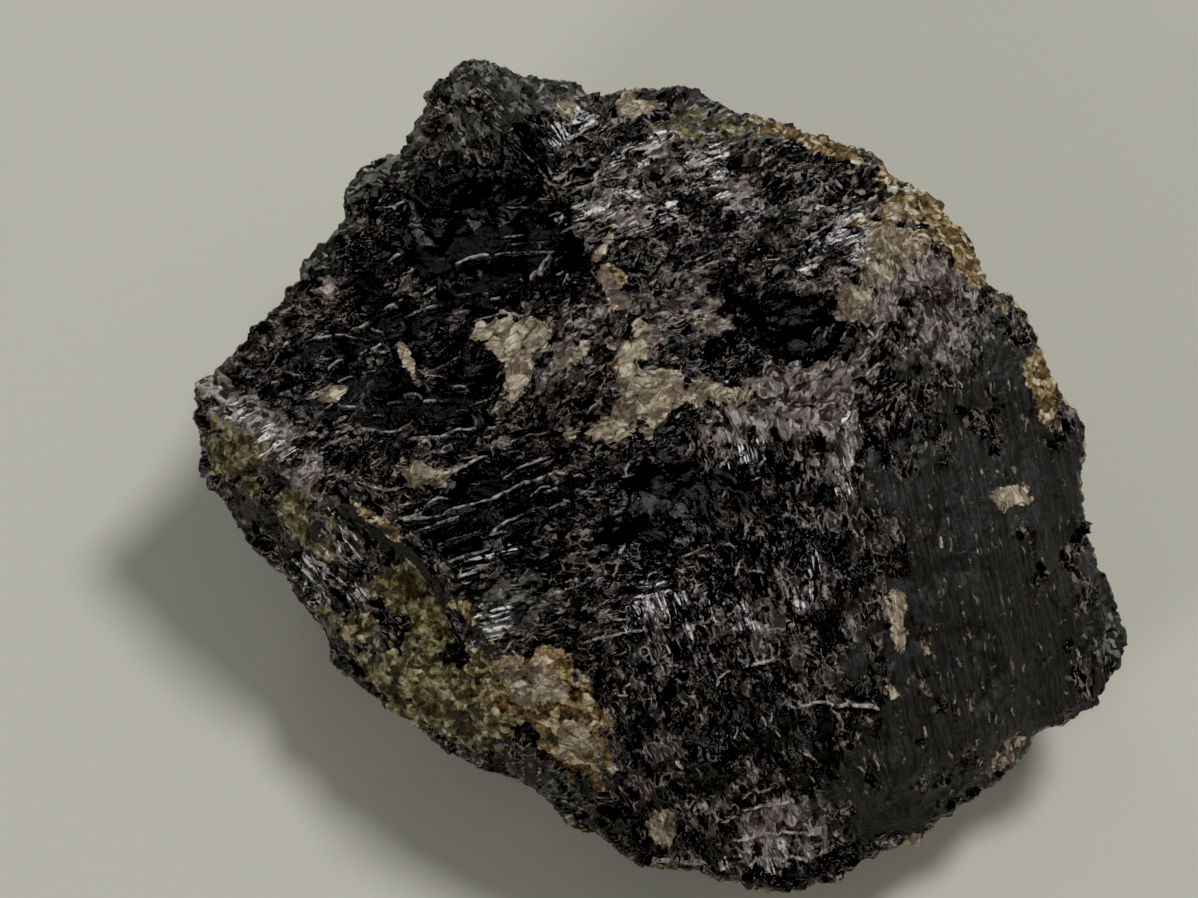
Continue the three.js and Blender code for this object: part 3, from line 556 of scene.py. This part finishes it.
def build_surface():
    """The stone's fine surface: points (mm), triangles, each point's place on its grain, and its cover."""
    points, faces = fine_triangles()
    rest = points[:, 2] < REST_HEIGHT
    points = soften(points, faces, SOFTEN_PASSES, rest.astype(float))
    normals = vertex_normals(points, faces)
    place = seen(points)
    facing = smooth(-0.05, 0.3, normals @ TO_SIGHT)
    hidden = 1 - facing

    wobble = 1.5 * rough(points, 2.4, 4, 11)
    cover = {name: patch(name, place, wobble) * facing for name in PATCHES}
    hidden_cover(cover, points, hidden)

    lead = leading_grain(points, place)
    along = np.zeros_like(points)
    ledge, chip, fine_chip, edge = (np.zeros(len(points)) for _ in range(4))
    for k, lean in enumerate(LEANS):
        here = lead == k
        if here.any():
            along[here] = leaned(points[here], lean)
            relief = grain_relief(along[here], GRAIN_SALT + GRAIN_SALT_STEP * k)
            ledge[here], chip[here], fine_chip[here], edge[here] = relief

    lip_height, lip_wear_and_highlight = lip_relief(place, all_lips())
    calm = np.clip(cover["black"], 0, 1)
    matt = np.clip(cover["grey"], 0, 1)
    grainy = np.clip(cover["rust"] + cover["olive"] + 0.8 * cover["rind"], 0, 1)
    glassy = (1 - BLACK_CALM * calm) * (1 - MATT_CALM * matt) * (1 - CRUST_CALM * grainy)
    _, offset, gap = chips(points / GRAIN_SIZE, 300)
    grains = 0.5 * np.sqrt(np.clip(gap, 0, 0.6)) + 0.25 * (0.5 - (offset**2).sum(1))
    height = (ledge + chip) * glassy + fine_chip * (FINE_CHIPS_KEPT + (1 - FINE_CHIPS_KEPT) * glassy)
    height += lip_height * facing + grains * np.maximum(grainy, 0.5 * hidden)
    height += ROUGH_HEIGHT * rough(points, 2.2, 5, 80) * (0.3 + 0.7 * glassy)
    height += TAN_RISE * cover["tan"] + RUST_RISE * cover["rust"]
    height *= np.clip(points[:, 2] / SKIRT_HEIGHT, 0, 1)
    points = points + normals * height[:, None]
    points[:, 2] = np.where(rest, points[:, 2], np.maximum(points[:, 2], LEAST_HEIGHT))
    broken = smooth(-0.15, 0.35, rough(points, 1.6, 3, 90))
    # The pale bands along the lips and the ledges' edges: partly paler wear, partly a painted highlight
    cover["lip"] = np.maximum(lip_wear_and_highlight, 0.6 * edge * glassy * broken) * facing
    return points, faces, along, cover


def make_object(name, points, faces, normals):
    """A smooth mesh object in metres from points in mm, with the given normals."""
    mesh = bpy.data.meshes.new(name)
    mesh.vertices.add(len(points))
    mesh.vertices.foreach_set("co", (points * MM).ravel())
    mesh.loops.add(faces.size)
    mesh.loops.foreach_set("vertex_index", faces.ravel().astype(np.int32))
    mesh.polygons.add(len(faces))
    mesh.polygons.foreach_set("loop_start", np.arange(0, faces.size, 3, dtype=np.int32))
    mesh.update(calc_edges=True)
    mesh.polygons.foreach_set("use_smooth", np.ones(len(mesh.polygons), bool))
    mesh.normals_split_custom_set_from_vertices(normals)
    made = bpy.data.objects.new(name, mesh)
    bpy.context.collection.objects.link(made)
    return made


# Each colour attribute of the mesh holds three kinds of cover as masks
MASKS = {
    "masks_a": ("tan", "rust", "olive"),
    "masks_b": ("mauve", "grey", "black"),
    # The fibre and lip masks place painted highlights; the lip's is partly paler wear
    "masks_c": ("fibre_glint", "lip", "rind"),
}
MASK_TOP = 1.5  # a mask's greatest value, stored as 1


def add_masks(mesh, name, columns):
    """Stores up to three masks in one colour attribute."""
    values = np.ones((len(mesh.vertices), 4), np.float32)
    for k, column in enumerate(columns):
        values[:, k] = np.clip(column, 0, MASK_TOP) / MASK_TOP
    mesh.attributes.new(name, "FLOAT_COLOR", "POINT").data.foreach_set("color", values.ravel())


STRIPS = 5  # they share their border's points and normals, so that no seam shows


def make_stone(material):
    """The fine stone in strips from left to right, in place of the CAD solid."""
    points, faces, along, cover = build_surface()
    normals = vertex_normals(points, faces)
    middle = points[faces, 0].mean(1)
    borders = np.quantile(middle, np.arange(1, STRIPS) / STRIPS)
    strip_of = np.searchsorted(borders, middle)
    for strip in range(STRIPS):
        used, inverse = np.unique(faces[strip_of == strip], return_inverse=True)
        piece = make_object(f"stone_{strip + 1}", points[used], inverse.reshape(-1, 3), normals[used])
        for name, kinds in MASKS.items():
            add_masks(piece.data, name, [cover[kind][used] for kind in kinds])
        lined = piece.data.attributes.new("along", "FLOAT_VECTOR", "POINT")
        lined.data.foreach_set("vector", along[used].astype(np.float32).ravel())
        piece.data.materials.append(material)
        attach(piece, "root")
        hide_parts("aegirine_quartz")


# Materials
HALF = (0.5, 0.5, 0.5)


class Nodes:
    """Short calls for building one material's nodes; sizes are in mm."""

    def __init__(self, name):
        self.material = bpy.data.materials.new(name)
        self.material.use_nodes = True
        self.tree = self.material.node_tree
        self.shader = self.tree.nodes["Principled BSDF"]
        place = self.node("ShaderNodeTexCoord").outputs["Object"]
        self.space = self.vector("MULTIPLY", place, (1 / MM,) * 3)

    def set(self, socket, value):
        """Links a socket to another, or gives it a value."""
        if isinstance(value, bpy.types.NodeSocket):
            self.tree.links.new(value, socket)
        elif value is not None:
            socket.default_value = value

    def node(self, kind, inputs=None, **settings):
        made = self.tree.nodes.new(kind)
        for key, value in settings.items():
            setattr(made, key, value)
        for key, value in (inputs or {}).items():
            self.set(made.inputs[key], value)
        return made

    def math(self, operation, a, b=None, c=None):
        made = self.node("ShaderNodeMath", operation=operation)
        for k, value in enumerate((a, b, c)):
            self.set(made.inputs[k], value)
        return made.outputs[0]

    def times(self, *values):
        product = values[0]
        for value in values[1:]:
            product = self.math("MULTIPLY", product, value)
        return product

    def most(self, *values):
        most = values[0]
        for value in values[1:]:
            most = self.math("MAXIMUM", most, value)
        return most

    def vector(self, operation, a, b=None):
        made = self.node("ShaderNodeVectorMath", operation=operation)
        self.set(made.inputs[0], a)
        if b is not None:
            self.set(made.inputs["Scale" if operation == "SCALE" else 1], b)
        return made.outputs[0]

    def ramp(self, value, low, high, to_low=0.0, to_high=1.0):
        """A smooth step from to_low to to_high while the value goes from low to high."""
        inputs = {"Value": value, "From Min": low, "From Max": high, "To Min": to_low, "To Max": to_high}
        return self.node("ShaderNodeMapRange", inputs, interpolation_type="SMOOTHSTEP").outputs[0]

    def mix(self, factor, a, b):
        made = self.node("ShaderNodeMix", data_type="RGBA")
        self.set(made.inputs[0], factor)
        for socket, value in ((made.inputs[6], a), (made.inputs[7], b)):
            self.set(socket, (*value, 1.0) if isinstance(value, tuple) and len(value) == 3 else value)
        return made.outputs[2]

    def tones(self, value, *stops):
        """A colour for each value from 0 to 1: stops are (value, colour)."""
        made = self.node("ShaderNodeValToRGB", {"Fac": value})
        elements = made.color_ramp.elements
        while len(elements) < len(stops):
            elements.new(0.5)
        for element, (position, colour) in zip(elements, stops):
            element.position = position
            element.color = (*colour, 1.0)
        return made.outputs["Color"]

    def noise(self, vector, size, detail, roughness):
        inputs = {"Vector": vector, "Scale": 1 / size, "Detail": detail, "Roughness": roughness}
        return self.node("ShaderNodeTexNoise", inputs).outputs["Fac"]

    def warped(self, vector, size, amount):
        """Places pushed about by noise."""
        inputs = {"Vector": vector, "Scale": 1 / size, "Detail": 1.0}
        push = self.node("ShaderNodeTexNoise", inputs).outputs["Color"]
        push = self.vector("SCALE", self.vector("SUBTRACT", push, HALF), amount)
        return self.vector("ADD", vector, push)

    def chips(self, vector, sizes, edges=True):
        """Angular chips: each chip's own colour, its three numbers, and the distance to its edge."""
        scaled = self.vector("MULTIPLY", vector, tuple(1 / size for size in sizes))
        inputs = {"Vector": scaled, "Scale": 1.0}
        own = self.node("ShaderNodeTexVoronoi", inputs).outputs["Color"]
        numbers = self.node("ShaderNodeSeparateColor", {"Color": own}).outputs
        edge = None
        if edges:
            edge = self.node("ShaderNodeTexVoronoi", inputs, feature="DISTANCE_TO_EDGE").outputs["Distance"]
        return own, [numbers[k] for k in range(3)], edge


BLACK_GLASS = (0.0022, 0.0019, 0.0022)
BROWN_GLASS = (0.060, 0.045, 0.042)
SPLINTER = (0.30, 0.255, 0.235)
RIM = (0.36, 0.30, 0.275)
# Pale bands along the lips: partly paler wear, partly a painted highlight
LIP_WEAR_AND_HIGHLIGHT = (0.66, 0.60, 0.57)
LIP_DIM_WEAR_AND_HIGHLIGHT = (0.20, 0.175, 0.165)
# The painted glint of the satin fibres: a near-white colour
SATIN_GLINT = (0.95, 0.94, 0.98)
# Painted shade in the cracks and in the gaps between grains
CRACK_SHADE = (0.012, 0.008, 0.006)
# The tones of each kind of cover, as (value, colour) stops
MAUVE_TONES = ((0.0, (0.05, 0.039, 0.037)), (0.5, (0.21, 0.175, 0.16)), (1.0, (0.52, 0.46, 0.42)))
RIND_TONES = ((0.0, (0.006, 0.006, 0.006)), (0.55, (0.045, 0.044, 0.041)), (1.0, (0.20, 0.195, 0.175)))
GREY_TONES = ((0.15, (0.004, 0.004, 0.004)), (0.5, (0.019, 0.0185, 0.018)), (0.9, (0.052, 0.049, 0.045)))
OLIVE_TONES = ((0.0, (0.018, 0.013, 0.006)), (0.35, (0.13, 0.105, 0.042)),
               (0.7, (0.36, 0.31, 0.15)), (1.0, (0.66, 0.60, 0.42)))
RUST_TONES = ((0.0, (0.030, 0.015, 0.007)), (0.35, (0.22, 0.135, 0.048)),
              (0.65, (0.50, 0.38, 0.185)), (1.0, (0.84, 0.77, 0.62)))
TAN_TONES = ((0.1, (0.10, 0.07, 0.05)), (0.5, (0.36, 0.29, 0.20)), (0.9, (0.78, 0.71, 0.55)))
MAUVE_BREAK = (0.035, 0.025, 0.025)
RIND_BREAK = (0.006, 0.0055, 0.0055)
RIND_SPECK = (0.30, 0.285, 0.25)
GREY_SPECK = (0.22, 0.195, 0.165)
BLACK_SPECK = (0.05, 0.043, 0.044)
OLIVE_BREAK = (0.035, 0.026, 0.012)
TAN_BREAK = (0.17, 0.115, 0.09)


# Sizes of the chips in mm along the grain, across it and in depth
SHARD_SIZE = (1.7, 0.75, 1.3)
SPLINTER_SIZE = (0.8, 0.24, 0.6)
THREAD_SIZE = (2.8, 0.17, 0.9)
CRUST_SIZE = (1.0, 0.8, 1.0)


def stone_material():
    n = Nodes("aegirine")
    space = n.space
    along = n.node("ShaderNodeAttribute", attribute_name="along").outputs["Vector"]
    mask = {}
    for name, kinds in MASKS.items():
        colour = n.node("ShaderNodeAttribute", attribute_name=name).outputs["Color"]
        parts = n.node("ShaderNodeSeparateColor", {"Color": colour}).outputs
        for k, kind in enumerate(kinds):
            mask[kind] = n.math("MULTIPLY", parts[k], MASK_TOP)

    fine = n.noise(space, 0.7, 4, 0.7)
    patchy = n.noise(space, 2.6, 4, 0.6)
    crumpled = n.warped(along, 1.8, 1.6)
    shard, shard_numbers, shard_edge = n.chips(crumpled, SHARD_SIZE)
    splinter, splinter_numbers, _ = n.chips(crumpled, SPLINTER_SIZE, edges=False)
    _, grain_numbers, grain_edge = n.chips(n.warped(space, 1.3, 1.5), CRUST_SIZE)
    _, thread_numbers, _ = n.chips(n.warped(along, 2.5, 0.45), THREAD_SIZE, edges=False)

    def broken(name, low, high):
        """A patch with an edge that follows the chips."""
        value = n.math("MULTIPLY_ADD", n.math("SUBTRACT", shard_numbers[1], 0.5), 0.5, mask[name])
        value = n.math("MULTIPLY_ADD", n.math("SUBTRACT", fine, 0.5), 1.4, value)
        return n.ramp(value, low, high)

    # Black and brown glass with splinters and rims
    brown = n.times(n.ramp(shard_numbers[0], 0.55, 0.9), n.ramp(patchy, 0.4, 0.6))
    colour = n.mix(brown, BLACK_GLASS, BROWN_GLASS)
    bright = n.times(n.ramp(splinter_numbers[0], 0.86, 0.94), n.ramp(patchy, 0.45, 0.58))
    colour = n.mix(bright, colour, SPLINTER)
    rim = n.math("SUBTRACT", 1.0, n.ramp(shard_edge, 0.01, 0.08))
    colour = n.mix(n.times(rim, n.ramp(patchy, 0.47, 0.6), n.ramp(fine, 0.4, 0.55)), colour, RIM)

    mauve_tone = n.tones(splinter_numbers[1], *MAUVE_TONES)
    mauve_tone = n.mix(n.ramp(shard_numbers[2], 0.68, 0.85), mauve_tone, MAUVE_BREAK)
    colour = n.mix(broken("mauve", 0.35, 0.65), colour, mauve_tone)

    rind_tone = n.tones(shard_numbers[2], *RIND_TONES)
    rind_tone = n.mix(n.ramp(fine, 0.52, 0.62), rind_tone, RIND_BREAK)
    rind_tone = n.mix(n.ramp(splinter_numbers[2], 0.85, 0.95), rind_tone, RIND_SPECK)
    colour = n.mix(broken("rind", 0.3, 0.6), colour, rind_tone)

    grey_value = n.math("MULTIPLY_ADD", thread_numbers[0], 0.4, n.math("MULTIPLY", fine, 0.65))
    grey_speck = n.times(n.ramp(splinter_numbers[0], 0.945, 0.985), n.ramp(patchy, 0.45, 0.58))
    grey_tone = n.mix(grey_speck, n.tones(grey_value, *GREY_TONES), GREY_SPECK)
    colour = n.mix(broken("grey", 0.2, 0.6), colour, grey_tone)

    # Black patches: the glass's own black, and painted shade in the two hollows and along the crease
    black_speck = n.times(n.ramp(splinter_numbers[0], 0.92, 1.0), n.ramp(patchy, 0.5, 0.6))
    colour = n.mix(broken("black", 0.32, 0.6), colour, n.mix(black_speck, BLACK_GLASS, BLACK_SPECK))

    # Olive and rusty crusts: grains, with painted shade in the gaps between them
    gap = n.ramp(n.math("MULTIPLY_ADD", fine, 0.3, grain_edge), 0.12, 0.34, 0.35, 1.0)
    grain_value = n.math("MULTIPLY", grain_numbers[0], 0.9)
    grain_value = n.math("MULTIPLY_ADD", n.math("SUBTRACT", fine, 0.5), 1.6, grain_value)
    olive_tone = n.mix(n.ramp(patchy, 0.52, 0.64), n.tones(grain_value, *OLIVE_TONES), OLIVE_BREAK)
    colour = n.mix(broken("olive", 0.35, 0.6), colour, n.mix(gap, CRACK_SHADE, olive_tone))

    colour = n.mix(broken("rust", 0.38, 0.62), colour, n.mix(gap, CRACK_SHADE, n.tones(grain_value, *RUST_TONES)))

    # Quartz, then the satin threads' painted glints and the lips' pale bands (partly paler wear, partly a
    # painted highlight) over everything
    tan_value = n.math("MULTIPLY_ADD", splinter_numbers[1], 0.4, n.math("MULTIPLY", shard_numbers[0], 0.45))
    tan_value = n.math("MULTIPLY_ADD", n.math("SUBTRACT", fine, 0.42), 1.3, tan_value)
    tan_tone = n.mix(n.ramp(patchy, 0.5, 0.62), n.tones(tan_value, *TAN_TONES), TAN_BREAK)
    # Painted shade in the cracks between the quartz chips
    crack_shade = n.times(n.ramp(shard_edge, 0.02, 0.09, 0.8, 0.0), n.ramp(fine, 0.44, 0.56))
    tan_tone = n.mix(crack_shade, tan_tone, CRACK_SHADE)
    tan_mask = broken("tan", 0.42, 0.62)
    colour = n.mix(tan_mask, colour, tan_tone)

    # Painted glint: near-white threads over the satin fibre patches
    thread_glint = n.times(n.ramp(thread_numbers[1], 0.62, 0.84), broken("fibre_glint", 0.42, 0.7))
    thread_glint = n.times(thread_glint, n.ramp(fine, 0.42, 0.52))
    colour = n.mix(thread_glint, colour, SATIN_GLINT)
    # Pale bands along the lips and ledge edges: partly paler wear, partly a painted highlight
    lip = n.times(n.ramp(mask["lip"], 0.3, 0.75), n.ramp(fine, 0.35, 0.48))
    lip_wear_and_highlight_tone = n.mix(n.ramp(fine, 0.42, 0.6), LIP_DIM_WEAR_AND_HIGHLIGHT, LIP_WEAR_AND_HIGHLIGHT)
    colour = n.mix(n.math("MULTIPLY", lip, 0.9), colour, lip_wear_and_highlight_tone)
    n.set(n.shader.inputs["Base Color"], colour)

    # Gloss
    dull = n.most(mask["grey"], mask["rind"], mask["olive"], mask["rust"])
    roughness = n.math("MULTIPLY_ADD", shard_numbers[1], 0.12, 0.1)
    roughness = n.math("MULTIPLY_ADD", dull, 0.36, roughness)
    roughness = n.math("MULTIPLY_ADD", tan_mask, 0.12, roughness)
    n.set(n.shader.inputs["Roughness"], n.math("MINIMUM", roughness, 0.85))
    n.shader.inputs["IOR"].default_value = 1.5
    n.shader.inputs["Specular IOR Level"].default_value = 0.36

    # Small cleavage faces, each tilted its own way
    own = n.node("ShaderNodeNewGeometry").outputs["Normal"]
    still = n.most(mask["grey"], mask["olive"], mask["rust"], n.math("MULTIPLY", mask["black"], 0.55))
    for chip, amount in ((shard, 0.5), (splinter, 0.5)):
        tilt = n.vector("SUBTRACT", chip, HALF)
        own = n.vector("ADD", own, n.vector("SCALE", tilt, n.ramp(still, 0.1, 0.7, amount, 0.1 * amount)))
    normal = n.vector("NORMALIZE", own)
    bump = {"Strength": 0.8, "Distance": 0.2 * MM, "Height": fine, "Normal": normal}
    n.set(n.shader.inputs["Normal"], n.node("ShaderNodeBump", bump).outputs[0])
    return n.material


FLOOR_TONES = ((0.665, 0.66, 0.585), (0.69, 0.685, 0.61))


def floor_material():
    n = Nodes("floor")
    n.set(n.shader.inputs["Base Color"], n.mix(n.noise(n.space, 1.1, 3, 0.6), *FLOOR_TONES))
    n.shader.inputs["Roughness"].default_value = 0.75
    return n.material


# Floor and light
FLOOR_SIZE = 3  # m
LIGHT_AIM = Vector((0, 0, 0.02))  # m, what each light looks at
LIGHTS = [  # name, direction, distance and size in m, power in W, colour
    ("key", (0.41, 0.29, 0.865), 1.5, 0.36, 11.0, (1.0, 0.99, 0.965)),
    ("back fill", (-0.35, 0.75, 0.56), 1.6, 0.4, 1.4, (0.95, 0.98, 1.0)),
    ("front fill", (-0.53, -0.7, 0.48), 1.6, 0.45, 5.5, (1.0, 0.985, 0.96)),
]
SKY_COLOUR = (1.0, 0.985, 0.94, 1)
SKY_STRENGTH = 0.135
BLACK_POINT = 0.0085  # what the picture shows as black


def make_floor():
    bpy.ops.mesh.primitive_plane_add(size=FLOOR_SIZE)
    floor = bpy.context.object
    floor.name = "floor"
    floor.data.materials.append(floor_material())


def area_light(name, towards, distance, size, power, colour):
    data = bpy.data.lights.new(name, "AREA")
    data.shape = "DISK"
    data.size = size
    data.energy = power
    data.color = colour
    light = bpy.data.objects.new(name, data)
    bpy.context.collection.objects.link(light)
    direction = Vector(towards).normalized()
    light.location = direction * distance + LIGHT_AIM
    light.rotation_euler = direction.to_track_quat("Z", "Y").to_euler()


def make_sky():
    world = bpy.data.worlds.new("studio")
    bpy.context.scene.world = world
    world.use_nodes = True
    background = world.node_tree.nodes["Background"]
    background.inputs["Color"].default_value = SKY_COLOUR
    background.inputs["Strength"].default_value = SKY_STRENGTH


def set_view():
    view = bpy.context.scene.view_settings
    view.view_transform = "Standard"
    view.use_curve_mapping = True
    view.curve_mapping.black_level = (BLACK_POINT,) * 3
    view.curve_mapping.update()


make_stone(stone_material())
make_floor()
for light in LIGHTS:
    area_light(*light)
make_sky()
set_view()
